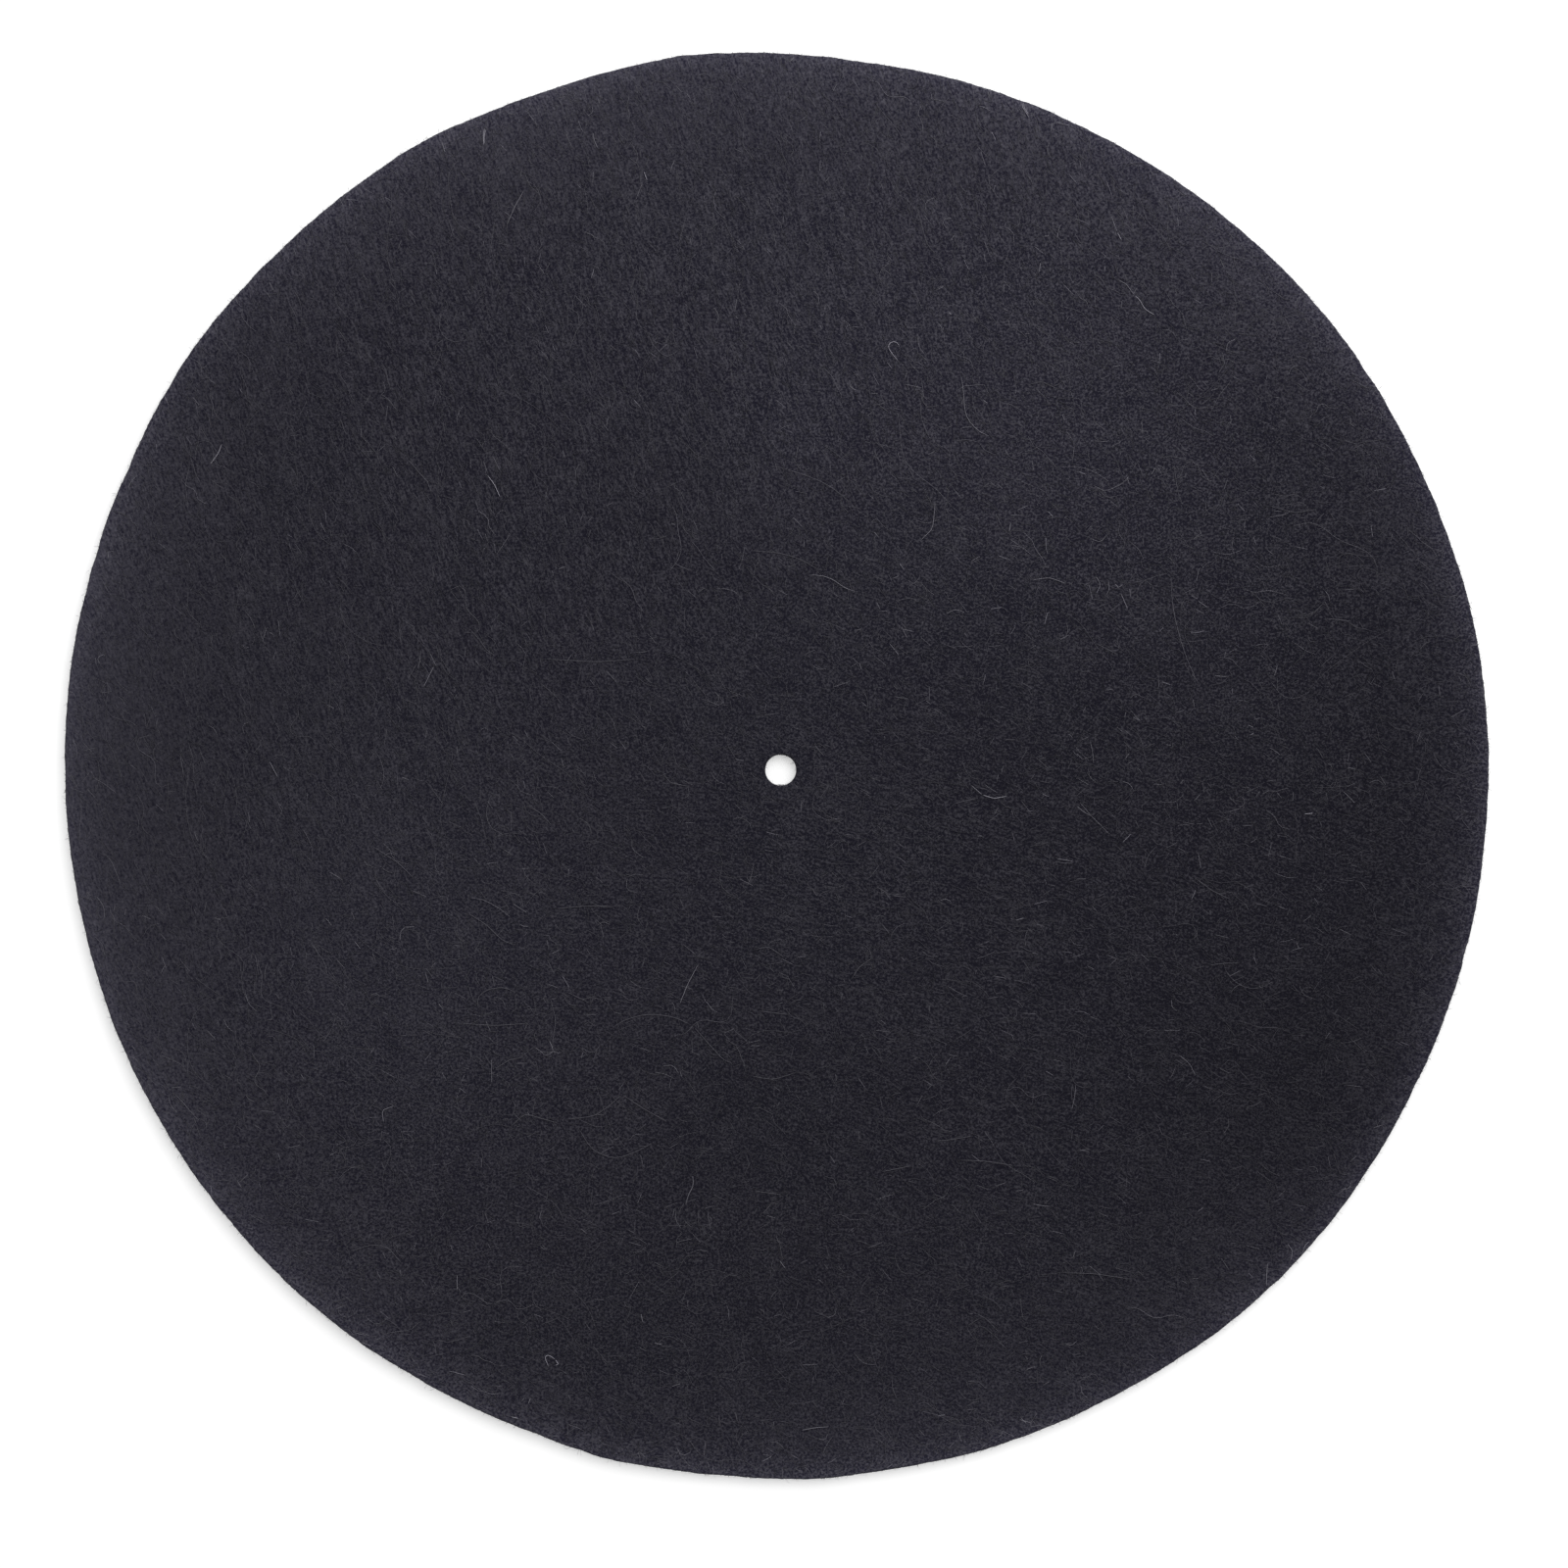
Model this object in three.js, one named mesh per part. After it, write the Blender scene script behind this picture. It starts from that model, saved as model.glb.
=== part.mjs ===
// A felt mat for the platter of a record player: one disc of needled felt, cut a little out of round,
// with a hole punched for the platter's spindle. It lies flat, and a record lies on it.
//
// Millimetres, +Z up. The origin is the middle of the spindle hole on the underside, and +Y points to
// the top of the disc as it is seen from above.
import * as THREE from "three";

// The sheet and its two cuts
const MAT_DIAMETER = 300; // mean width across the cut edge
const MAT_THICKNESS = 2.5;
const HOLE_DIAMETER = 6.5; // the felt stretches over a spindle of about 7.2 mm
const EDGE_ROUND = 0.5; // the soft arris that both cuts leave on both faces
const HOLE_OFF_CENTRE_X = 1.0; // the hole lies this far right of the outline's middle
const HOLE_OFF_CENTRE_Y = -0.8; // and this far below it

// How the cut edge strays from a circle: each entry is a number of lobes, how far a lobe stands out in
// millimetres, and the direction of one lobe in degrees from +X. Two lobes are the stretch of the felt
// along a diagonal, three to eight are the cutter's path, and the last are its small wobbles.
const CUT_LOBES = [
  { count: 2, height: 0.7, direction: -46 },
  { count: 3, height: 0.13, direction: -10 },
  { count: 4, height: 0.17, direction: 37 },
  { count: 8, height: 0.11, direction: 2 },
  { count: 13, height: 0.09, direction: 11 },
];

// Facets
const RIM_SEGMENTS = 240;
const HOLE_SEGMENTS = 48;
const EDGE_SEGMENTS = 4;

const FELT = new THREE.MeshStandardMaterial({
  name: "charcoal_felt",
  color: 0x2a2a30,
  roughness: 0.95,
  metalness: 0,
});

// The radius of the cut edge about the outline's middle, at an angle in radians.
function cutRadius(angle) {
  const stray = CUT_LOBES.map(
    ({ count, height, direction }) =>
      height * Math.cos(count * (angle - THREE.MathUtils.degToRad(direction))),
  );
  return stray.reduce((sum, part) => sum + part, MAT_DIAMETER / 2);
}

// The points of a closed curve, where radiusAt gives the radius at each angle.
function closedCurve(segments, radiusAt, middle) {
  return Array.from({ length: segments }, (_, i) => {
    const angle = (2 * Math.PI * i) / segments;
    const radius = radiusAt(angle);
    return new THREE.Vector2(
      middle.x + radius * Math.cos(angle),
      middle.y + radius * Math.sin(angle),
    );
  });
}

// The sheet seen from above: the cut edge, with the spindle hole at the origin.
function matOutline() {
  const outlineMiddle = new THREE.Vector2(-HOLE_OFF_CENTRE_X, -HOLE_OFF_CENTRE_Y);
  const holeMiddle = new THREE.Vector2(0, 0);
  const outline = new THREE.Shape(closedCurve(RIM_SEGMENTS, cutRadius, outlineMiddle));
  const hole = closedCurve(HOLE_SEGMENTS, () => HOLE_DIAMETER / 2, holeMiddle);
  outline.holes.push(new THREE.Path(hole));
  return outline;
}

// The felt's full thickness between two flat faces, with a quarter round along every edge.
function feltMat() {
  const round = Math.min(EDGE_ROUND, 0.45 * MAT_THICKNESS);
  const geometry = new THREE.ExtrudeGeometry(matOutline(), {
    depth: MAT_THICKNESS - 2 * round,
    bevelEnabled: true,
    bevelThickness: round,
    bevelSize: round,
    bevelOffset: -round,
    bevelSegments: EDGE_SEGMENTS,
  });
  const mat = new THREE.Mesh(geometry, FELT);
  mat.name = "felt_mat";
  mat.position.z = round;
  return mat;
}

const platterMat = new THREE.Group();
platterMat.add(feltMat());

export default platterMat;
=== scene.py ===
# The looks of the felt platter mat: a limp sheet of needled felt with real fibres lying on its face and
# standing out of its cuts. Metres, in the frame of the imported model, +Z up, the spindle hole at the origin.
import functools
import math
import sys

import bpy
import numpy as np
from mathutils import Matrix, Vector


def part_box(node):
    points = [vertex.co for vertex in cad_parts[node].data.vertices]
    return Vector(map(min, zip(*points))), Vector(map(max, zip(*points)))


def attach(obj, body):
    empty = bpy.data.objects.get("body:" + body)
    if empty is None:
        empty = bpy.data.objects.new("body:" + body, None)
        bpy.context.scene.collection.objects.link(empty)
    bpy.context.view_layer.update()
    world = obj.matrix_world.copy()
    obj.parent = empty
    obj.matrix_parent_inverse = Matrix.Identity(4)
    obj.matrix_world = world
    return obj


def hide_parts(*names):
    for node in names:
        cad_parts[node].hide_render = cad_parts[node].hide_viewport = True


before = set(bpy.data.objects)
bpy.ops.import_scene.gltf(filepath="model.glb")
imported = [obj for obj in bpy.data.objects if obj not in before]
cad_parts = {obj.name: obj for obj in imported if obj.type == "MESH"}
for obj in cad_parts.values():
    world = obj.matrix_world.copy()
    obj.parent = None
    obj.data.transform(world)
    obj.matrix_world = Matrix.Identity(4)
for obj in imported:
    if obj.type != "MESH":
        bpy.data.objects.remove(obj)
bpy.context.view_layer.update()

# The sheet, read off the CAD solid
MM = 0.001
FELT_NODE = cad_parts["felt_mat"]
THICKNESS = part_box("felt_mat")[1].z
FLAT_SIZE = 300 * MM
WALL_SLACK = 0.01 * MM  # points this near the wall's middle height count as one ring
ANGLE_DECIMALS = 5  # two angles that agree to this many are the same corner


def cad_walls():
    """The angles and radii of the cut edge about the spindle hole, and the hole's radius."""
    points = np.array([v.co for v in FELT_NODE.data.vertices])
    from_middle = np.abs(points[:, 2] - THICKNESS / 2)
    wall = points[from_middle < from_middle.min() + WALL_SLACK]
    radii = np.hypot(wall[:, 0], wall[:, 1])
    rim = wall[radii > radii.max() / 2]
    rounded = np.round(np.arctan2(rim[:, 1], rim[:, 0]), ANGLE_DECIMALS)
    angles, first = np.unique(rounded, return_index=True)
    return angles, np.hypot(rim[first, 0], rim[first, 1]), radii.min()


RIM_ANGLES, RIM_RADII, HOLE_RADIUS = cad_walls()

# How unevenly the felt was needled and cut
ARRIS = 0.55 * MM  # round of the four cut edges
LUMP_HEIGHT = 0.09 * MM
LUMP_SIZE = 8 * MM
PILL_HEIGHT = 0.045 * MM
PILL_SIZE = 2.6 * MM
CUT_WANDER = 0.13 * MM
CUT_WANDER_SIZE = 3.5 * MM
CUT_SEED, LUMP_SEED, PILL_SEED, UNDERSIDE_SEED = 11, 12, 13, 14
NOISE_GRID = 1024
RIM_LIFT = 0.8 * MM  # the limp rim stands off the floor by up to this on one diagonal
RIM_LIFT_HEADING = math.radians(28)
RIM_LIFT_POWER = 7  # how near the rim the lift begins

# Where the cutter strayed: direction and reach in degrees, and how far the edge stands out in millimetres
CUT_WOBBLES = (
    (83, 4, -0.18),
    (98, 4, 0.55),
    (110, 3, -0.25),
    (120, 3, 0.25),
    (133, 4, -0.22),
    (145, 3, 0.22),
    (155, 3, -0.25),
    (180, 10, -0.20),
    (238, 6, -0.18),
    (256, 4, 0.50),
    (272, 4, 0.40),
    (312, 18, 0.30),
)

# Facets of the sheet: RIM_COUNT round the rim, and half as many each time the radius halves
RIM_COUNT = 720
HOLE_COUNT = 90
FACE_STEP = 1.5 * MM
UNDERSIDE_STEP = 5 * MM
LEAST_STEP = 0.25  # share of a step that is left near the hole
ARRIS_STEPS = 4

# The nap's heading turns across the mat, from steep at the upper left to nearly level at the right.
# It is measured along a line that falls to the right.
NAP_HEADING_LEFT = math.radians(110)
NAP_HEADING_RIGHT = math.radians(160)
NAP_TURN_MIDDLE = (-28 * MM, 12 * MM)
NAP_TURN_ACROSS = math.radians(-48)
NAP_TURN_START = -50 * MM
NAP_TURN_END = 60 * MM

# How tousled the nap is: 0 where it is well combed, at the upper left, and more where it has turned.
# TOUSLED_PATCHES are handled areas: middle x and y, reach, and how much more tousled they are.
TOUSLED_RIGHT = 0.42
TOUSLED_SPREAD = 1.2  # how much further fibres stray from the heading where the nap is fully tousled
TOUSLED_PATCHES = (
    (-65 * MM, -85 * MM, 50 * MM, 0.50),
    (0 * MM, -125 * MM, 35 * MM, 0.35),
    (90 * MM, 50 * MM, 45 * MM, 0.45),
    (35 * MM, -20 * MM, 50 * MM, -0.20),
)

# Painted light on the nap, seen from above: lighter towards the top of the disc, where the light falls.
# The patches below are painted sheen and shade: middle x and y, reach, and how much lighter.
NAP_BASE_LIGHT = 0.87
TOP_LIGHT_HEADING = math.radians(70)
TOP_LIGHT_START = 10 * MM
TOP_LIGHT_END = 150 * MM
TOP_LIGHT_GAIN = 0.29
# Painted light along the rim, lighter where the cut edge catches the light
RIM_LIGHT_START = 124 * MM
RIM_LIGHT_END = 146 * MM
RIM_LIGHT_GAIN = 0.15
EDGE_LIGHT_REACH = 3 * MM
EDGE_LIGHT_GAIN = 0.85
# Patches of painted sheen and shade on the nap
SHEEN_PATCHES = (
    (35 * MM, 85 * MM, 45 * MM, 0.12),
    (4 * MM, 73 * MM, 13 * MM, 0.12),
    (62 * MM, 60 * MM, 25 * MM, 0.07),
    (-25 * MM, 58 * MM, 20 * MM, -0.08),
    (-27 * MM, -6 * MM, 22 * MM, -0.06),
    (-122 * MM, 14 * MM, 30 * MM, -0.08),
    (-120 * MM, 92 * MM, 20 * MM, -0.10),
    (112 * MM, 92 * MM, 22 * MM, 0.06),
    (112 * MM, -28 * MM, 30 * MM, 0.05),
    (125 * MM, 85 * MM, 40 * MM, -0.19),
    (138 * MM, 70 * MM, 25 * MM, -0.13),
    (-85 * MM, -40 * MM, 40 * MM, 0.13),
    (-140 * MM, 30 * MM, 30 * MM, 0.08),
    (0 * MM, -75 * MM, 45 * MM, -0.13),
    (-10 * MM, -145 * MM, 50 * MM, -0.09),
    (-60 * MM, -140 * MM, 25 * MM, -0.12),
    (78 * MM, -135 * MM, 25 * MM, -0.12),
    (50 * MM, 0 * MM, 40 * MM, -0.08),
    (120 * MM, -60 * MM, 65 * MM, -0.31),
    (138 * MM, -75 * MM, 25 * MM, -0.10),
    (145 * MM, 20 * MM, 45 * MM, -0.24),
)

# How strongly the fibres' shades differ. Handling has evened them out at the left, at the top and along
# the rim. CONTRAST_PATCHES are middle x and y, reach, and how much more strongly they differ there.
BASE_CONTRAST = 1.0
CONTRAST_PATCHES = (
    (-150 * MM, 0 * MM, 85 * MM, -0.47),
    (-20 * MM, 150 * MM, 80 * MM, -0.30),
    (100 * MM, 0 * MM, 70 * MM, 0.33),
)
EVENED_START = 110 * MM
EVENED_END = 146 * MM
EVENED = 0.25
CONTRAST_LIGHT = 0.33  # keeps the nap as light to the eye where its contrast changes

# The lightest fibres stand out also where handling has evened the nap. Past KEEN_FROM times the
# scatter, their shades go on to differ by at least KEEN_SCATTER times their layer's own scatter.
KEEN_FROM = 1.4
KEEN_SCATTER = 1.1

# How a fibre on the face lies. spread, bend and wave are in radians, length and arch are (least, most),
# and points counts the points of its line.
COMBED = dict(length=(1.4 * MM, 3.6 * MM), spread=0.40, bend=0.7, arch=(0.02 * MM, 0.12 * MM), points=4)
MATTED = dict(length=(1.2 * MM, 2.8 * MM), spread=1.1, bend=1.5, arch=(0.03 * MM, 0.15 * MM), points=4)
CURLED = dict(length=(2.2 * MM, 5.0 * MM), spread=0.60, bend=1.5, arch=(0.08 * MM, 0.3 * MM), points=6)
STRAY = dict(length=(4 * MM, 10 * MM), spread=0.36, bend=1.3, wave=0.3, arch=(0.1 * MM, 0.35 * MM), points=8)
LONG = dict(length=(9 * MM, 24 * MM), spread=0.38, bend=1.5, wave=0.5, arch=(0.18 * MM, 0.36 * MM), points=14)

# The fibres on the face, from the matted nap to the long ones on top: name, count, (least, most) width,
# median shade, how far shades scatter about it, and how they lie
LAYERS = (
    ("nap_matted", 13500, (0.09 * MM, 0.15 * MM), 0.024, 0.85, MATTED),
    ("nap_combed_low", 13500, (0.08 * MM, 0.13 * MM), 0.030, 0.75, COMBED),
    ("nap_combed_high", 13500, (0.07 * MM, 0.12 * MM), 0.034, 0.8, COMBED),
    ("nap_curled", 6800, (0.05 * MM, 0.09 * MM), 0.045, 0.75, CURLED),
    ("stray_fibres", 850, (0.05 * MM, 0.08 * MM), 0.11, 0.4, STRAY),
    ("long_fibres", 200, (0.05 * MM, 0.08 * MM), 0.10, 0.4, LONG),
)

# The fibres of the cuts. Those that stand out have a mean reach, a lean in radians and a (least, most) width.
RIM_FUZZ = dict(count=7200, reach=0.32 * MM, lean=0.7, width=(0.035 * MM, 0.07 * MM))
HOLE_FUZZ = dict(count=170, reach=0.22 * MM, lean=0.6, width=(0.03 * MM, 0.055 * MM))
WALL_FIBRES = 3000
WALL_WIDTH = (0.05 * MM, 0.1 * MM)
WALL_LENGTH = (0.8 * MM, 2.6 * MM)
WALL_TILT = 0.25
WALL_PROUD = 0.1 * MM  # how far their middles stand off the wall at most
CUT_SHADE = 0.02
CUT_SCATTER = 0.6
WALL_SCATTER = 0.7

# Loose lint that stands out in the picture, as the points in millimetres that each piece passes
BRIGHT_LINT = (
    ((50.8, 140.5), (50.9, 139.4), (51.7, 138.2), (52.3, 137.1)),
    ((51.1, 140.4), (51.2, 139.4), (51.9, 138.3), (52.1, 137.9)),
    ((25.0, 88.7), (24.9, 89.7), (24.2, 90.3), (23.1, 90.1), (22.4, 89.1), (23.7, 87.3), (24.9, 85.9)),
    ((-61.7, 62.0), (-60.3, 60.2), (-59.0, 57.3)),
    ((-117.6, 68.6), (-118.3, 66.8), (-119.6, 64.9), (-120.1, 64.3)),
    ((70.9, 113.1), (71.3, 112.3), (71.7, 111.5)),
    ((74.5, 99.9), (75.6, 98.9), (76.0, 98.1), (76.6, 97.0), (77.8, 96.3), (78.9, 95.6)),
    ((-48.8, -125.6), (-49.5, -124.1), (-49.6, -123.3), (-48.9, -123.1), (-48.2, -123.5), (-47.4, -124.1)),
    ((-47.4, -124.1), (-46.8, -125.0), (-47.4, -125.3)),
    ((-56.6, -136.1), (-55.2, -136.4)),
    ((42.4, -5.2), (44.9, -6.0), (47.7, -5.5)),
    ((110.2, -9.3), (112.0, -9.1)),
    ((35.4, 96.3), (35.9, 95.8)),
    ((-62.3, 135.0), (-62.6, 133.4), (-62.5, 131.4)),
    ((-62.1, 134.8), (-62.4, 133.4), (-62.4, 131.8)),
    ((-28.8, 126.0), (-28.1, 124.1)),
)
PALE_LINT = (
    ((32.5, 56.4), (32.2, 52.9), (32.0, 50.8), (29.3, 48.2)),
    ((70.9, 103.2), (72.8, 102.2), (73.7, 100.9), (74.5, 99.9)),
    ((69.6, 116.6), (70.2, 114.8), (70.9, 113.1)),
    ((38.0, 83.1), (38.5, 79.4), (38.7, 75.9), (39.1, 74.1), (40.3, 72.6), (41.8, 71.1), (44.6, 70.0)),
    ((5.8, 41.1), (8.8, 40.9), (11.1, 40.1), (13.4, 38.3), (16.0, 37.5)),
    ((-81.5, -70.7), (-83.8, -71.6), (-83.8, -72.8), (-83.5, -74.3)),
    ((-53.1, -133.4), (-52.6, -132.0)),
    ((-17.3, -40.8), (-19.6, -45.1), (-21.4, -49.7)),
    ((40.1, -3.2), (42.4, -5.2)),
    ((-54.0, 122.0), (-56.0, 118.5), (-57.8, 114.4)),
    ((-39.5, 134.2), (-39.3, 132.7), (-38.5, 130.9)),
    ((-18.5, -85.3), (-18.4, -87.6), (-19.3, -89.1), (-20.1, -91.7)),
    ((-68.1, -106.2), (-68.1, -109.7)),
    ((102.5, -103.7), (102.3, -105.8), (102.2, -108.8)),
    ((106.7, -99.7), (107.7, -101.2), (107.4, -103.3)),
    ((-26.6, -120.6), (-25.0, -120.9)),
    ((4.2, -139.0), (7.3, -138.4), (10.3, -138.2)),
    ((52.9, 40.0), (56.6, 40.5), (60.2, 39.2)),
    ((-73.0, 21.8), (-75.2, 17.4)),
    ((-107.6, 1.9), (-105.8, -1.6)),
    ((-29.4, -114.5), (-29.0, -116.3)),
    ((33.0, -136.0), (34.6, -135.7)),
    ((49.5, -31.6), (51.2, -31.2)),
    ((-0.2, -103.3), (1.0, -104.9)),
)
FAINT_LINT = (
    ((-48.8, 81.5), (-48.0, 78.2)),
    ((-40.8, 95.1), (-43.0, 92.5), (-44.9, 87.1)),
    ((-50.5, 23.4), (-38.4, 22.7), (-30.0, 23.4)),
    ((-6.5, 46.2), (-0.2, 45.7), (4.0, 44.5), (8.2, 42.0)),
    ((20.0, 77.4), (22.7, 75.3)),
    ((51.7, 81.0), (55.0, 81.8), (58.2, 80.2)),
    ((28.4, 119.5), (30.8, 110.5), (33.0, 108.2)),
    ((102.5, 55.7), (108.2, 54.1), (113.0, 54.9)),
    ((109.8, 32.3), (112.2, 33.1), (114.1, 35.0)),
    ((66.3, 26.7), (71.1, 24.2)),
    ((86.9, -22.5), (91.0, -25.5), (95.0, -27.4)),
    ((91.2, -34.6), (94.5, -35.4)),
    ((90.1, -41.1), (93.0, -40.7), (96.6, -40.6)),
    ((119.0, -66.3), (122.5, -66.7)),
    ((-86.0, -16.0), (-80.5, -19.5), (-77.2, -22.8)),
    ((-66.0, -30.0), (-62.0, -32.5), (-58.5, -36.0), (-55.6, -36.9)),
    ((-47.3, -29.2), (-42.0, -28.7), (-35.2, -28.6)),
    ((-24.8, -0.7), (-23.2, -2.7), (-19.2, -3.5)),
    ((19.5, -39.4), (16.5, -41.5), (14.7, -44.3)),
    ((-5.6, -37.8), (-2.5, -37.2), (0.8, -39.4)),
    ((-4.7, -50.7), (1.8, -51.5)),
    ((-6.3, -64.4), (-1.5, -65.2), (3.4, -63.6)),
    ((-67.5, -53.3), (-60.0, -53.8), (-53.0, -53.3)),
    ((-57.1, -75.3), (-53.8, -72.3), (-50.2, -73.4), (-46.5, -74.4)),
    ((-42.6, -75.3), (-39.7, -80.1), (-34.9, -82.0), (-29.7, -80.1), (-26.4, -78.1)),
    ((-45.8, -73.6), (-39.3, -72.9), (-36.9, -71.3), (-33.3, -68.3)),
    ((-33.3, -68.3), (-28.9, -71.3), (-23.7, -74.1)),
    ((-36.1, -54.7), (-32.9, -52.5), (-28.0, -51.3), (-22.4, -51.9), (-18.4, -53.9)),
    ((-18.4, -53.9), (-15.2, -57.6), (-11.9, -61.2), (-9.9, -61.8)),
    ((-63.5, -50.7), (-64.0, -47.8), (-61.4, -46.0), (-57.9, -45.7), (-55.5, -47.1)),
    ((-45.0, -46.7), (-40.1, -49.1)),
    ((-59.9, -62.8), (-57.1, -61.0), (-54.3, -60.5)),
    ((-91.0, -101.5), (-86.5, -99.9), (-82.8, -100.2), (-79.6, -104.0)),
    ((21.1, -84.6), (27.6, -83.3)),
    ((32.4, -78.1), (36.0, -77.8), (40.5, -77.0)),
    ((37.2, -82.1), (43.0, -82.3), (49.3, -83.3)),
    ((-5.5, -88.6), (0.2, -89.4)),
    ((58.7, -105.8), (66.0, -106.0), (74.0, -107.2)),
)

# Each kind of lint: its pieces, shade and width
LINT = (
    (BRIGHT_LINT, 0.41, 0.14 * MM),
    (PALE_LINT, 0.24, 0.12 * MM),
    (FAINT_LINT, 0.10, 0.13 * MM),
)
LINT_HEIGHT = 0.24 * MM
LINT_POINTS = 12

# Shades of the fibres as linear levels, darkest first, each lighter than the last by the same factor
DARKEST_SHADE = 0.006
SHADE_FACTOR = 1.6
SHADE_COUNT = 10
SHADE_LIMIT = 2.4  # a fibre is drawn at most this many times the scatter from the median
SHADE_LEVELS = DARKEST_SHADE * SHADE_FACTOR ** np.arange(SHADE_COUNT)

# The picture: the photograph's frame is 330.1 mm wide at the mat's face, and its middle lies off the hole
PICTURE_WIDTH = 330.1 * MM
PICTURE_MIDDLE = (0.7 * MM, -2.95 * MM)
LENS = 85.0
SENSOR = 36.0


def add_camera():
    """A long lens looking straight down, with +Y to the top of the picture."""
    data = bpy.data.cameras.new("camera")
    data.lens = LENS
    data.sensor_width = SENSOR
    camera = bpy.data.objects.new("camera", data)
    camera.location = (*PICTURE_MIDDLE, THICKNESS + PICTURE_WIDTH * LENS / SENSOR)
    bpy.context.scene.collection.objects.link(camera)
    bpy.context.scene.camera = camera


add_camera()


# Shape of the sheet
@functools.lru_cache(maxsize=None)
def noise_grid(seed):
    """Seeded random values from -1 to 1 on a square grid."""
    return np.random.default_rng(seed).uniform(-1, 1, (NOISE_GRID, NOISE_GRID))


def smooth_noise(x, y, cell, seed):
    """Seeded value noise from -1 to 1, with features about one cell wide."""
    grid = noise_grid(seed)
    u = np.asarray(x) / cell + NOISE_GRID / 2
    v = np.asarray(y) / cell + NOISE_GRID / 2
    i = np.floor(u).astype(int)
    j = np.floor(v).astype(int)
    fu = smoothstep(u - i, 0, 1)
    fv = smoothstep(v - j, 0, 1)
    i, next_i = i % NOISE_GRID, (i + 1) % NOISE_GRID
    j, next_j = j % NOISE_GRID, (j + 1) % NOISE_GRID
    near = grid[i, j] * (1 - fu) + grid[next_i, j] * fu
    far = grid[i, next_j] * (1 - fu) + grid[next_i, next_j] * fu
    return near * (1 - fv) + far * fv


def smoothstep(value, start, end):
    """0 before start and 1 after end, with a soft slope between."""
    t = np.clip((value - start) / (end - start), 0, 1)
    return t * t * (3 - 2 * t)


def rim_radius(angle):
    """The cut edge, which wanders a little about the solid's."""
    radius = np.interp(angle, RIM_ANGLES, RIM_RADII, period=2 * math.pi)
    x = radius * np.cos(angle)
    y = radius * np.sin(angle)
    radius = radius + CUT_WANDER * smooth_noise(x, y, CUT_WANDER_SIZE, CUT_SEED)
    for direction, reach, height in CUT_WOBBLES:
        off = (np.degrees(angle) - direction + 180) % 360 - 180
        radius += height * MM * np.exp(-((off / reach) ** 2))
    return radius


def lift(x, y):
    """How far the limp sheet stands off the floor."""
    side = 0.5 + 0.5 * np.cos(2 * (np.arctan2(y, x) - RIM_LIFT_HEADING))
    return RIM_LIFT * side * (np.hypot(x, y) / (FLAT_SIZE / 2)) ** RIM_LIFT_POWER


def face_height(x, y):
    """Height of the napped face, before its edges round off."""
    lumps = LUMP_HEIGHT * smooth_noise(x, y, LUMP_SIZE, LUMP_SEED)
    pills = PILL_HEIGHT * smooth_noise(x, y, PILL_SIZE, PILL_SEED)
    return THICKNESS - PILL_HEIGHT + lumps + pills + lift(x, y)


def round_inset(depth):
    """How far a cut edge's round draws in, this deep into it from the edge's side. 0 past its end."""
    inside = ARRIS - np.clip(depth, 0, ARRIS)
    return ARRIS - np.sqrt(ARRIS**2 - inside**2)


def rounded_height(x, y):
    """Height of the face with its round at the rim and at the hole."""
    radius = np.hypot(x, y)
    from_rim = rim_radius(np.arctan2(y, x)) - radius
    from_hole = radius - HOLE_RADIUS
    return face_height(x, y) - round_inset(np.minimum(from_rim, from_hole))


def ring_count(radius):
    """Points on a ring of this radius."""
    count = RIM_COUNT
    limit = FLAT_SIZE / 4
    while radius < limit and count > HOLE_COUNT:
        count //= 2
        limit /= 2
    return count


def radial_stops(step):
    """Radii between the rounds of the hole and the rim, a step apart, and closer near the hole."""
    start = HOLE_RADIUS + ARRIS
    end = FLAT_SIZE / 2 - ARRIS
    stops = [start]
    while stops[-1] < end - step:
        share = np.clip(stops[-1] / (FLAT_SIZE / 4), LEAST_STEP, 1)
        stops.append(stops[-1] + step * share)
    stops[-1] = end
    return stops


def ring(radius, height_of, inset=0.0):
    """Points round the mat. Between the hole and the rim the radius stretches with the cut edge."""
    count = ring_count(radius)
    angles = np.arange(count) * 2 * math.pi / count
    stretch = ((radius - HOLE_RADIUS) / (FLAT_SIZE / 2 - HOLE_RADIUS)) ** 2
    here = radius + stretch * (rim_radius(angles) - FLAT_SIZE / 2) - inset
    x = here * np.cos(angles)
    y = here * np.sin(angles)
    return np.stack([x, y, height_of(x, y)], axis=1)


def underside(x, y):
    """The face that lies on the platter, pressed flat apart from its pills."""
    pills = 0.5 + 0.5 * smooth_noise(x, y, PILL_SIZE, UNDERSIDE_SEED)
    return lift(x, y) + PILL_HEIGHT * pills


def wall_ring(radius, inward, turn, top):
    """Points on the round of one cut edge. inward is 1 at the rim and -1 at the hole."""
    inset = inward * ARRIS * (1 - math.cos(turn))
    rise = ARRIS * (1 - math.sin(turn))

    def height(x, y):
        return face_height(x, y) - rise if top else underside(x, y) + rise

    return ring(radius, height, inset)


def section_rings():
    """Rings round the sheet's section: out over the face, down the rim, in underneath and up the hole."""
    rim = FLAT_SIZE / 2
    turns = [math.pi / 2 * k / ARRIS_STEPS for k in range(ARRIS_STEPS)]
    rings = [ring(r, face_height) for r in radial_stops(FACE_STEP)]
    rings += [wall_ring(rim, 1, turn, True) for turn in reversed(turns)]
    rings += [wall_ring(rim, 1, turn, False) for turn in turns]
    rings += [ring(r, underside) for r in reversed(radial_stops(UNDERSIDE_STEP))]
    rings += [wall_ring(HOLE_RADIUS, -1, turn, False) for turn in reversed(turns)]
    rings += [wall_ring(HOLE_RADIUS, -1, turn, True) for turn in turns]
    return rings


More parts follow.
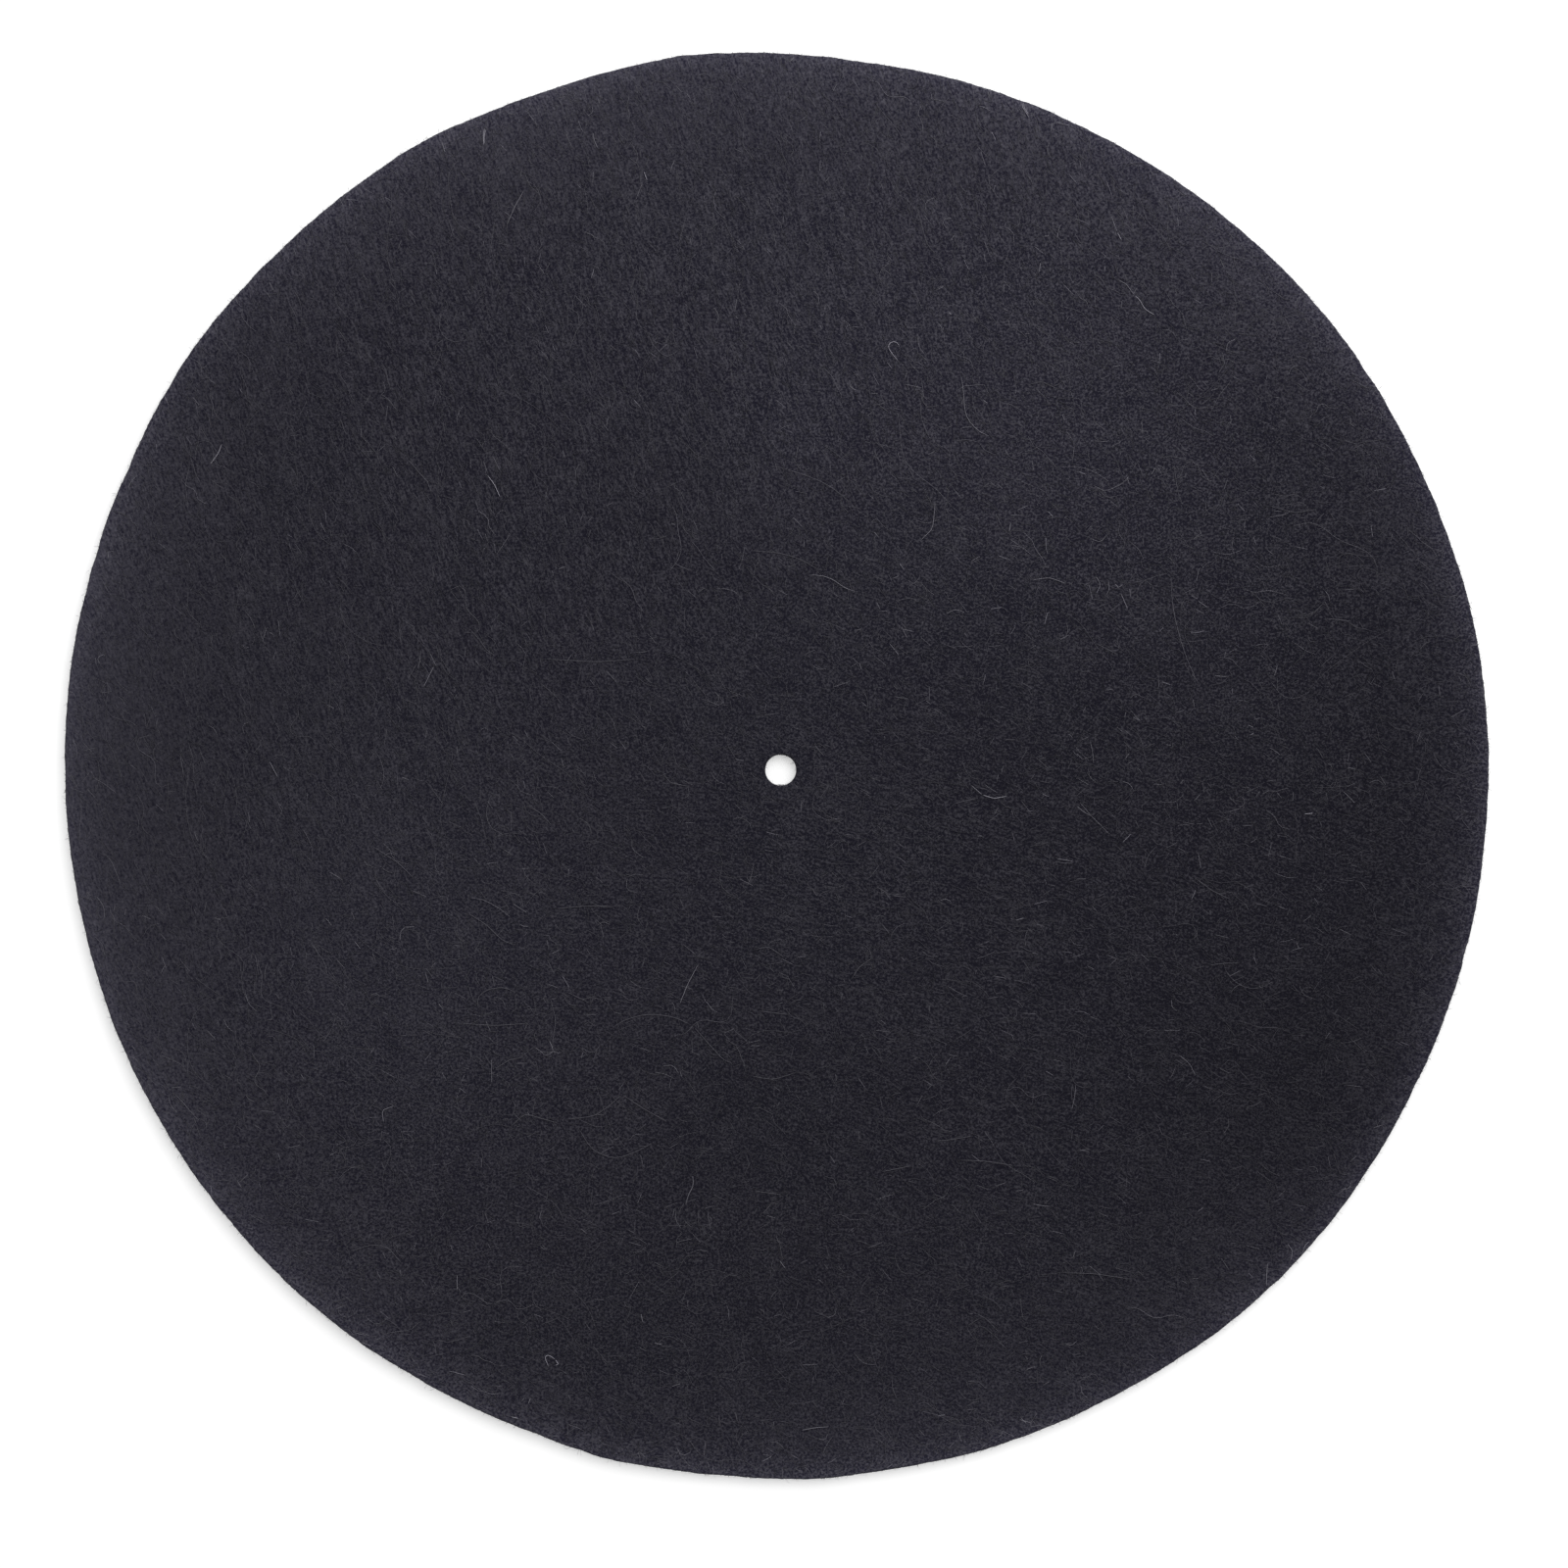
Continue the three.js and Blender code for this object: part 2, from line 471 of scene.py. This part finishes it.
def strip(first, second, first_count, second_count):
    """Triangles between two rings, of which one may have twice the points of the other."""
    faces = []
    few = min(first_count, second_count)
    for k in range(few):
        if first_count == second_count:
            a, b = first + k, first + (k + 1) % few
            c, d = second + k, second + (k + 1) % few
            faces += [(a, c, b), (b, c, d)]
        elif first_count > second_count:
            a, m, b = (first + (2 * k + i) % first_count for i in range(3))
            c, d = second + k, second + (k + 1) % few
            faces += [(a, c, m), (m, c, d), (m, d, b)]
        else:
            a, b = first + k, first + (k + 1) % few
            c, m, d = (second + (2 * k + i) % second_count for i in range(3))
            faces += [(a, c, m), (a, m, b), (b, m, d)]
    return faces


def build_sheet():
    """The felt as one closed sheet."""
    rings = section_rings()
    counts = [len(r) for r in rings]
    starts = np.concatenate([[0], np.cumsum(counts)])
    faces = []
    for k, count in enumerate(counts):
        after = (k + 1) % len(rings)
        faces += strip(int(starts[k]), int(starts[after]), count, counts[after])
    return np.concatenate(rings), np.array(faces)


def new_piece(name, points, faces, materials):
    """A smooth-shaded triangle mesh that rides with the mat."""
    mesh = bpy.data.meshes.new(name)
    mesh.vertices.add(len(points))
    mesh.vertices.foreach_set("co", points.astype(np.float32).ravel())
    mesh.loops.add(faces.size)
    mesh.loops.foreach_set("vertex_index", faces.astype(np.int32).ravel())
    mesh.polygons.add(len(faces))
    mesh.polygons.foreach_set("loop_start", np.arange(0, faces.size, 3, dtype=np.int32))
    mesh.polygons.foreach_set("use_smooth", np.ones(len(faces), dtype=bool))
    mesh.update(calc_edges=True)
    mesh.validate()
    for material in materials:
        mesh.materials.append(material)
    piece = bpy.data.objects.new(name, mesh)
    bpy.context.scene.collection.objects.link(piece)
    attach(piece, "root")
    return piece


# The nap
def nap_turn(x, y):
    """0 where the nap is steep and 1 where it is nearly level."""
    dx = x - NAP_TURN_MIDDLE[0]
    dy = y - NAP_TURN_MIDDLE[1]
    across = dx * math.cos(NAP_TURN_ACROSS) + dy * math.sin(NAP_TURN_ACROSS)
    return smoothstep(across, NAP_TURN_START, NAP_TURN_END)


def nap_heading(x, y):
    """The direction that the fibres are combed in, in radians from +X."""
    return NAP_HEADING_LEFT + (NAP_HEADING_RIGHT - NAP_HEADING_LEFT) * nap_turn(x, y)


def patches(x, y, areas):
    """The sum of soft round areas, each given as its middle x and y, its reach and its gain."""
    return sum(gain * np.exp(-((x - ax) ** 2 + (y - ay) ** 2) / reach**2) for ax, ay, reach, gain in areas)


def nap_tousle(x, y):
    """0 where the nap is well combed and 1 where its fibres lie every way."""
    return np.clip(TOUSLED_RIGHT * nap_turn(x, y) + patches(x, y, TOUSLED_PATCHES), 0, 1)


def nap_contrast(x, y):
    """How strongly the fibres' shades differ from one another, about 1 in the middle."""
    evened = EVENED * smoothstep(np.hypot(x, y), EVENED_START, EVENED_END)
    return (BASE_CONTRAST + patches(x, y, CONTRAST_PATCHES)) * (1 - evened)


def painted_light(x, y):
    """How light the nap is painted, with painted light and sheen: 1 leaves its shades as they are, and less
    darkens them.
    """
    radius = np.hypot(x, y)
    upward = x * math.cos(TOP_LIGHT_HEADING) + y * math.sin(TOP_LIGHT_HEADING)
    from_rim = rim_radius(np.arctan2(y, x)) - radius
    light = NAP_BASE_LIGHT + TOP_LIGHT_GAIN * smoothstep(upward, TOP_LIGHT_START, TOP_LIGHT_END)
    light += RIM_LIGHT_GAIN * smoothstep(radius, RIM_LIGHT_START, RIM_LIGHT_END)
    light += EDGE_LIGHT_GAIN * np.exp(-np.maximum(from_rim, 0) / EDGE_LIGHT_REACH)
    return light + patches(x, y, SHEEN_PATCHES)


# Fibres. A lying fibre's length scatters by LENGTH_SCATTER, its first and last steps are shorter by
# END_STEP, its tip may rise by TIP_RISE of its arch, and it is sunk into the felt by a share of its width.
TUBE_CORNERS = np.radians([90, 210, 330])
TAPER = 0.35
FIBRE_SEED = 2024
SPARE = 1.06  # fibres drawn for each one kept, as some hang over the rim
DRAWN_REACH = 1.01  # radius of the disc that they are drawn on, in radii of the mat
FACE_SLACK = 0.25 * MM  # how far a fibre may hang over
LENGTH_SCATTER = (0.7, 1.3)
WAVES = 1.6  # along a fibre that waves
END_STEP = 0.5
TIP_RISE = 0.35
SUNK = 0.25

# A fibre that stands out of a cut starts CUT_ROOT inside the wall and passes these shares of its length
CUT_ROOT = 0.12 * MM
CUT_STOPS = np.array([0, 0.3, 0.75, 1.0])
CUT_MARGIN = 0.3 * MM  # the wall's part near each face that carries none
CUT_LENGTHS = (0.12 * MM, 5)  # shortest, and longest in reaches
CUT_CLIMB = (0.12, 0.35)  # mean and scatter in radians
CUT_BEND = 0.8
CUT_DROOP = 0.15
FLOOR_GAP = 0.06 * MM

# A fibre that lies along the wall of the rim
WALL_STOPS = np.array([0, 0.15, 0.85, 1.0])
WALL_MARGIN = 0.25 * MM


def unit(vectors):
    """These vectors at length one. A vector of no length stays so."""
    return vectors / np.maximum(np.linalg.norm(vectors, axis=-1, keepdims=True), sys.float_info.min)


def tubes(lines, widths, profile):
    """Closed three-sided tubes along lines (fibre, point, xyz), pointed at both ends.

    Returns their points, their triangles and the number of triangles in each tube.
    """
    count, points, _ = lines.shape
    along = np.gradient(lines, axis=1)
    side = unit(np.stack([-along[..., 1], along[..., 0], np.zeros((count, points))], axis=-1))
    up = unit(np.cross(along, side))
    outward = np.cos(TUBE_CORNERS)[:, None] * side[:, 1:-1, None, :]
    outward = outward + np.sin(TUBE_CORNERS)[:, None] * up[:, 1:-1, None, :]
    radius = (widths[:, None] / 2 * profile[None, 1:-1])[:, :, None, None]
    rings = (lines[:, 1:-1, None, :] + radius * outward).reshape(count, -1, 3)
    corners = np.concatenate([lines[:, :1], rings, lines[:, -1:]], axis=1)
    per_fibre = corners.shape[1]
    last = 1 + 3 * (points - 3)
    faces = []
    for j in range(3):
        n = (j + 1) % 3
        faces.append((0, 1 + n, 1 + j))
        for a in range(1, last, 3):
            faces += [(a + j, a + n, a + j + 3), (a + n, a + n + 3, a + j + 3)]
        faces.append((per_fibre - 1, last + j, last + n))
    faces = np.array(faces)
    every = faces[None] + (np.arange(count) * per_fibre)[:, None, None]
    return corners.reshape(-1, 3), every.reshape(-1, 3), len(faces)


def flat_lines(x, y, headings, lengths, stops):
    """Curved lines in plan, each through its own middle point, with a heading for each of its steps."""
    step = lengths[:, None] * np.diff(stops)[None, :]
    start = np.zeros((len(x), 1))
    dx = np.concatenate([start, np.cumsum(step * np.cos(headings), axis=1)], axis=1)
    dy = np.concatenate([start, np.cumsum(step * np.sin(headings), axis=1)], axis=1)
    dx += (x - dx.mean(axis=1))[:, None]
    dy += (y - dy.mean(axis=1))[:, None]
    return dx, dy


def on_face(x, y):
    """Whether a line keeps to the face: every point inside the rim and outside the hole, or nearly so."""
    radius = np.hypot(x, y)
    inside = radius < rim_radius(np.arctan2(y, x)) + FACE_SLACK
    return (inside & (radius > HOLE_RADIUS - FACE_SLACK)).all(axis=1)


def scattered(rng, count):
    """Points spread evenly over a disc that reaches just past the rim."""
    radius = DRAWN_REACH * FLAT_SIZE / 2 * np.sqrt(rng.uniform(0, 1, count))
    angle = rng.uniform(0, 2 * math.pi, count)
    return radius * np.cos(angle), radius * np.sin(angle)


def lying_fibres(rng, count, width, length, spread, bend, arch, points, wave=0.0):
    """Fibres lying on the face along the nap. Returns their lines and widths."""
    x, y = scattered(rng, int(count * SPARE))
    number = len(x)
    astray = spread * (1 + TOUSLED_SPREAD * nap_tousle(x, y))
    headings = nap_heading(x, y) + rng.normal(0, 1, number) * astray
    lengths = rng.uniform(*length, number) * rng.uniform(*LENGTH_SCATTER, number)
    bends = rng.normal(0, bend, number)
    waves = rng.normal(0, wave, number)
    phases = rng.uniform(0, 2 * math.pi, number)
    stops = np.linspace(0, 1, points)
    stops[1] *= END_STEP
    stops[-2] = 1 - stops[1]
    middles = (stops[1:] + stops[:-1]) / 2
    turned = headings[:, None] + bends[:, None] * (middles - 0.5)[None, :]
    turned += waves[:, None] * np.sin(phases[:, None] + 2 * math.pi * WAVES * middles[None, :])
    px, py = flat_lines(x, y, turned, lengths, stops)
    kept = np.flatnonzero(on_face(px, py))[:count]
    px, py = px[kept], py[kept]
    rise = rng.uniform(*arch, len(kept))[:, None] * (4 * stops * (1 - stops))[None, :]
    tip = rng.exponential(TIP_RISE, len(kept))[:, None] * arch[1] * (stops**3)[None, :]
    widths = rng.uniform(*width, len(kept))
    pz = rounded_height(px, py) - SUNK * widths[:, None] + rise + tip
    return np.stack([px, py, pz], axis=-1), widths


def fibre_profile(points):
    """Thickness along a fibre: full in the middle, thinner near its ends."""
    return 1 - TAPER * np.linspace(-1, 1, points) ** 2


def nearest_shade(level):
    """The number of the shade that comes nearest to each level."""
    shade = np.round(np.log(level / DARKEST_SHADE) / math.log(SHADE_FACTOR))
    return np.clip(shade, 0, SHADE_COUNT - 1).astype(int)


def shades_for(rng, lines, median, scatter):
    """A shade for each fibre. Levels follow the nap's painted light and scatter by its contrast."""
    x, y, _ = lines[:, lines.shape[1] // 2].T
    local = scatter * nap_contrast(x, y)
    draws = np.clip(rng.normal(0, 1, len(lines)), -SHADE_LIMIT, SHADE_LIMIT)
    spread = local * draws + CONTRAST_LIGHT * (scatter**2 - local**2)
    keen = np.maximum(KEEN_SCATTER * scatter - local, 0)
    spread += keen * np.maximum(draws - KEEN_FROM, 0)
    return nearest_shade(median * painted_light(x, y) * np.exp(spread))


def hole_edge(angle):
    """The hole's radius at each angle."""
    return np.full_like(angle, HOLE_RADIUS)


def edge_fibres(rng, edge_radius, outward, count, reach, lean, width):
    """Fibres standing out of a cut wall, as lines and widths. outward is 1 at the rim, -1 at the hole."""
    angle = rng.uniform(0, 2 * math.pi, count)
    root = edge_radius(angle) - outward * CUT_ROOT
    z = rng.uniform(CUT_MARGIN, THICKNESS - CUT_MARGIN, count)
    shortest, longest = CUT_LENGTHS
    lengths = np.clip(rng.exponential(reach, count), shortest, longest * reach)
    heading = angle + (0 if outward > 0 else math.pi) + rng.normal(0, lean, count)
    climb = rng.normal(*CUT_CLIMB, count)
    bends = rng.normal(0, CUT_BEND, count)
    x0 = root * np.cos(angle)
    y0 = root * np.sin(angle)
    turned = heading[:, None] + bends[:, None] * (CUT_STOPS - CUT_STOPS[1])[None, :]
    along = lengths[:, None] * CUT_STOPS[None, :]
    x = x0[:, None] + along * np.cos(climb)[:, None] * np.cos(turned)
    y = y0[:, None] + along * np.cos(climb)[:, None] * np.sin(turned)
    droop = CUT_DROOP * lengths[:, None] * (CUT_STOPS**2)[None, :]
    up = along * np.sin(climb)[:, None] - droop
    z = np.maximum((z + lift(x0, y0))[:, None] + up, FLOOR_GAP)
    return np.stack([x, y, z], axis=-1), rng.uniform(*width, count)


def wall_fibres(rng):
    """Fibres lying along the cut wall of the rim, as lines and widths."""
    angle = rng.uniform(0, 2 * math.pi, WALL_FIBRES)
    z = rng.uniform(WALL_MARGIN, THICKNESS - WALL_MARGIN, WALL_FIBRES)
    lengths = rng.uniform(*WALL_LENGTH, WALL_FIBRES)
    tilt = rng.normal(0, WALL_TILT, WALL_FIBRES)
    from_middle = lengths[:, None] * (WALL_STOPS - 0.5)[None, :]
    turned = angle[:, None] + from_middle * np.cos(tilt)[:, None] / (FLAT_SIZE / 2)
    height = z[:, None] + from_middle * np.sin(tilt)[:, None]
    height = np.clip(height, WALL_MARGIN / 2, THICKNESS - WALL_MARGIN / 2)
    bulge = (4 * WALL_STOPS * (1 - WALL_STOPS))[None, :]
    proud = rng.uniform(0, WALL_PROUD, WALL_FIBRES)[:, None] * bulge
    radius = rim_radius(turned) - round_inset(np.minimum(height, THICKNESS - height)) + proud
    x = radius * np.cos(turned)
    y = radius * np.sin(turned)
    return np.stack([x, y, height + lift(x, y)], axis=-1), rng.uniform(*WALL_WIDTH, WALL_FIBRES)


# Materials. The dye keeps its small blue cast, light or dark.
CAST_GREEN = (0.965, -0.0003)  # share of the level, and what is added to it
CAST_BLUE = (1.10, 0.0057)
FIBRE_ROUGHNESS = 0.75
FIBRE_SPECULAR = 0.2
GROUND_ROUGHNESS = 0.92
GROUND_SPECULAR = 0.1
SHEEN = 0.05
SHEEN_ROUGHNESS = 0.5

# The ground under the fibres: a fine speckle with streaks along the nap, and soft blotches. The tone goes
# from dark to light between two values of the mixed noise.
GRAIN_DETAIL = 2
SPECKLE_SIZE = 0.5 * MM
SPECKLE_ROUGHNESS = 0.8
STREAK_SIZE = 0.45 * MM
STREAK_ROUGHNESS = 0.7
STREAK_STRETCH = 4.0
STREAK_SHARE = 0.4
BLOTCH_SIZE = 9 * MM
BLOTCH_DETAIL = 3
BLOTCH_ROUGHNESS = 0.6
BLOTCH_SHARE = 0.07
DARK_AT, DARK_LEVEL = 0.465, 0.008
LIGHT_AT, LIGHT_LEVEL = 0.605, 0.056
BUMP_STRENGTH = 0.6
BUMP_DEPTH = 0.25 * MM


def felt_colour(level):
    """The dye at this level, grey with a small blue cast."""
    green = max(CAST_GREEN[0] * level + CAST_GREEN[1], 0)
    return level, green, CAST_BLUE[0] * level + CAST_BLUE[1], 1


def new_material(name, roughness, specular):
    """A plain material. Returns it, its node tree and its shader."""
    material = bpy.data.materials.new(name)
    material.use_nodes = True
    shader = material.node_tree.nodes["Principled BSDF"]
    shader.inputs["Roughness"].default_value = roughness
    shader.inputs["Specular IOR Level"].default_value = specular
    return material, material.node_tree, shader


def add_sheen(shader):
    """The soft sheen of wool."""
    shader.inputs["Sheen Weight"].default_value = SHEEN
    shader.inputs["Sheen Roughness"].default_value = SHEEN_ROUGHNESS


def fibre_material(name, level):
    """One shade of fibre, matt."""
    material, _, shader = new_material(name, FIBRE_ROUGHNESS, FIBRE_SPECULAR)
    shader.inputs["Base Color"].default_value = felt_colour(level)
    add_sheen(shader)
    return material


def set_or_link(tree, socket, value):
    """Gives a socket a plain value, or links it if the value is another socket."""
    if isinstance(value, bpy.types.NodeSocket):
        tree.links.new(value, socket)
    else:
        socket.default_value = value


def math_node(tree, operation, first, second):
    """A math node on two sockets or numbers. Returns its output."""
    node = tree.nodes.new("ShaderNodeMath")
    node.operation = operation
    set_or_link(tree, node.inputs[0], first)
    set_or_link(tree, node.inputs[1], second)
    return node.outputs[0]


def blend(tree, first, second, share):
    """The first value with this share of the second in its place. share is a socket or a number."""
    node = tree.nodes.new("ShaderNodeMix")
    set_or_link(tree, node.inputs["Factor"], share)
    set_or_link(tree, node.inputs["A"], first)
    set_or_link(tree, node.inputs["B"], second)
    return node.outputs["Result"]


def attribute(tree, name):
    """A value that is stored on the mesh's points."""
    node = tree.nodes.new("ShaderNodeAttribute")
    node.attribute_name = name
    return node.outputs["Fac"]


def noise(tree, place, size, detail, roughness, stretch=1, heading=0.0):
    """Noise from 0 to 1 with features of this size, drawn out by stretch along the heading."""
    mapping = tree.nodes.new("ShaderNodeMapping")
    mapping.vector_type = "TEXTURE"
    mapping.inputs["Rotation"].default_value[2] = heading
    mapping.inputs["Scale"].default_value[0] = stretch
    tree.links.new(place, mapping.inputs["Vector"])
    texture = tree.nodes.new("ShaderNodeTexNoise")
    texture.inputs["Scale"].default_value = 1 / size
    texture.inputs["Detail"].default_value = detail
    texture.inputs["Roughness"].default_value = roughness
    tree.links.new(mapping.outputs["Vector"], texture.inputs["Vector"])
    return texture.outputs["Fac"]


def streaks(tree, place, stretch=1, heading=0.0):
    """The part of the ground's grain that follows the nap."""
    return noise(tree, place, STREAK_SIZE, GRAIN_DETAIL, STREAK_ROUGHNESS, stretch, heading)


def felt_material():
    """Matted fibres: a fine speckle, streaks that follow the nap, and blotches where the web is thicker."""
    material, tree, shader = new_material("felt_ground", GROUND_ROUGHNESS, GROUND_SPECULAR)
    add_sheen(shader)
    place = tree.nodes.new("ShaderNodeTexCoord").outputs["Object"]
    speckle = noise(tree, place, SPECKLE_SIZE, GRAIN_DETAIL, SPECKLE_ROUGHNESS)
    steep = streaks(tree, place, STREAK_STRETCH, NAP_HEADING_LEFT)
    turned = streaks(tree, place, STREAK_STRETCH, NAP_HEADING_RIGHT)
    combed = blend(tree, steep, turned, attribute(tree, "nap_turn"))
    lying = blend(tree, combed, streaks(tree, place), attribute(tree, "nap_tousle"))
    grain = blend(tree, speckle, lying, STREAK_SHARE)
    blotches = noise(tree, place, BLOTCH_SIZE, BLOTCH_DETAIL, BLOTCH_ROUGHNESS)

    ramp = tree.nodes.new("ShaderNodeValToRGB")
    for stop, at, level in zip(ramp.color_ramp.elements, (DARK_AT, LIGHT_AT), (DARK_LEVEL, LIGHT_LEVEL)):
        stop.position = at
        stop.color = felt_colour(level)
    middle = (DARK_AT + LIGHT_AT) / 2
    tone = math_node(tree, "SUBTRACT", blend(tree, grain, blotches, BLOTCH_SHARE), middle)
    tone = math_node(tree, "MULTIPLY", tone, attribute(tree, "nap_contrast"))
    tree.links.new(math_node(tree, "ADD", tone, middle), ramp.inputs["Fac"])
    # The ramp's colour is scaled by the painted light and sheen stored on the points
    lit = tree.nodes.new("ShaderNodeVectorMath")
    lit.operation = "SCALE"
    tree.links.new(ramp.outputs["Color"], lit.inputs[0])
    tree.links.new(attribute(tree, "painted_light"), lit.inputs["Scale"])
    tree.links.new(lit.outputs["Vector"], shader.inputs["Base Color"])

    bump = tree.nodes.new("ShaderNodeBump")
    bump.inputs["Strength"].default_value = BUMP_STRENGTH
    bump.inputs["Distance"].default_value = BUMP_DEPTH
    tree.links.new(grain, bump.inputs["Height"])
    tree.links.new(bump.outputs["Normal"], shader.inputs["Normal"])
    return material


FIBRE_MATERIALS = [fibre_material(f"fibre_shade_{k + 1}", level) for k, level in enumerate(SHADE_LEVELS)]


# The pieces
def add_sheet():
    """The sheet in place of the plain solid, with the nap's fields and its painted light on its points."""
    points, faces = build_sheet()
    sheet = new_piece("felt_sheet", points, faces, [felt_material()])
    x, y = points[:, 0], points[:, 1]
    for field in (nap_turn, nap_tousle, nap_contrast, painted_light):
        stored = sheet.data.attributes.new(field.__name__, "FLOAT", "POINT")
        stored.data.foreach_set("value", field(x, y).astype(np.float32))
    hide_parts("felt_mat")
    return sheet


def fibre_piece(name, lines, widths, shades):
    """One piece of many fibres, each in its own shade."""
    points, faces, per_fibre = tubes(lines, widths, fibre_profile(lines.shape[1]))
    piece = new_piece(name, points, faces, FIBRE_MATERIALS)
    piece.data.polygons.foreach_set("material_index", np.repeat(shades, per_fibre).astype(np.int32))
    return piece


def lint_line(corners):
    """A smooth line through these points, resting on the face."""
    corners = np.array(corners) * MM
    length = np.concatenate([[0], np.cumsum(np.hypot(*np.diff(corners, axis=0).T))])
    at = np.linspace(0, length[-1], LINT_POINTS)
    x = np.interp(at, length, corners[:, 0])
    y = np.interp(at, length, corners[:, 1])
    x[1:-1] = (x[:-2] + 2 * x[1:-1] + x[2:]) / 4
    y[1:-1] = (y[:-2] + 2 * y[1:-1] + y[2:]) / 4
    return np.stack([x, y, rounded_height(x, y) + LINT_HEIGHT], axis=-1)


def add_lint():
    """The loose pieces of lint, the bright ones first."""
    pieces, shades, widths = zip(*LINT)
    counts = [len(kind) for kind in pieces]
    lines = np.array([lint_line(corners) for kind in pieces for corners in kind])
    levels = np.repeat(shades, counts)
    return fibre_piece("loose_lint", lines, np.repeat(widths, counts), nearest_shade(levels))


def add_fibres():
    """Every piece that is made of fibres."""
    rng = np.random.default_rng(FIBRE_SEED)
    pieces = []
    for name, count, width, shade, scatter, lie in LAYERS:
        lines, widths = lying_fibres(rng, count, width, **lie)
        pieces.append(fibre_piece(name, lines, widths, shades_for(rng, lines, shade, scatter)))
    pieces.append(add_lint())
    cuts = (
        ("rim_fuzz", edge_fibres(rng, rim_radius, 1, **RIM_FUZZ), CUT_SCATTER),
        ("rim_wall_fibres", wall_fibres(rng), WALL_SCATTER),
        ("hole_fuzz", edge_fibres(rng, hole_edge, -1, **HOLE_FUZZ), CUT_SCATTER),
    )
    for name, (lines, widths), scatter in cuts:
        pieces.append(fibre_piece(name, lines, widths, shades_for(rng, lines, CUT_SHADE, scatter)))
    return pieces


# Studio
KEY_PLACE = Vector((0.18, 0.32, 0.42))
KEY_POWER = 0.8
KEY_SIDE = 0.4
SUN_STRENGTH = 1.62
SUN_SPREAD = math.radians(70)
WORLD_LEVEL = 0.36
FLOOR_ALBEDO = 0.8
FLOOR_GLOW = 0.43
FLOOR_SIDE = 6.0
FLOOR_DROP = 0.05 * MM
WHITE = (1, 1, 1, 1)


def seen_directly(tree):
    """1 for rays from the camera, a glossy reflection or a clear material, and 0 for the light itself."""
    path = tree.nodes.new("ShaderNodeLightPath").outputs
    seen = math_node(tree, "MAXIMUM", path["Is Camera Ray"], path["Is Glossy Ray"])
    return math_node(tree, "MAXIMUM", seen, path["Is Transmission Ray"])


def add_lamp(name, kind):
    """A lamp near the upper right that shines on the middle of the mat and isn't seen itself."""
    lamp = bpy.data.objects.new(name, bpy.data.lights.new(name, kind))
    lamp.location = KEY_PLACE
    lamp.rotation_euler = (-KEY_PLACE).to_track_quat("-Z", "Y").to_euler()
    lamp.visible_camera = False
    bpy.context.scene.collection.objects.link(lamp)
    return lamp.data


def add_lamps():
    """A soft lamp, and an even one from the same side that reaches the whole floor."""
    key = add_lamp("key", "AREA")
    key.energy = KEY_POWER
    key.size = KEY_SIDE
    sun = add_lamp("sky_panel", "SUN")
    sun.energy = SUN_STRENGTH
    sun.angle = SUN_SPREAD


def add_world():
    """A white surround that lights the mat at a lower level."""
    world = bpy.data.worlds.new("studio")
    world.use_nodes = True
    tree = world.node_tree
    glow = tree.nodes["Background"]
    strength = math_node(tree, "MAXIMUM", seen_directly(tree), WORLD_LEVEL)
    tree.links.new(strength, glow.inputs["Strength"])
    glow.inputs["Color"].default_value = WHITE
    bpy.context.scene.world = world


def add_floor():
    """White paper that keeps the mat's shadow."""
    half = FLOOR_SIDE / 2
    corners = [(x * half, y * half, -FLOOR_DROP) for x, y in ((-1, -1), (1, -1), (1, 1), (-1, 1))]
    mesh = bpy.data.meshes.new("floor")
    mesh.from_pydata(corners, [], [(0, 1, 2, 3)])
    floor = bpy.data.objects.new("floor", mesh)
    bpy.context.scene.collection.objects.link(floor)
    material, tree, shader = new_material("floor_paper", roughness=1.0, specular=0.0)
    shader.inputs["Base Color"].default_value = (FLOOR_ALBEDO, FLOOR_ALBEDO, FLOOR_ALBEDO, 1)
    shader.inputs["Emission Color"].default_value = WHITE
    glow = math_node(tree, "MULTIPLY", seen_directly(tree), FLOOR_GLOW)
    tree.links.new(glow, shader.inputs["Emission Strength"])
    mesh.materials.append(material)


add_floor()
add_lamps()
add_world()
bpy.context.scene.view_settings.view_transform = "Standard"

sheet = add_sheet()
fibres = add_fibres()
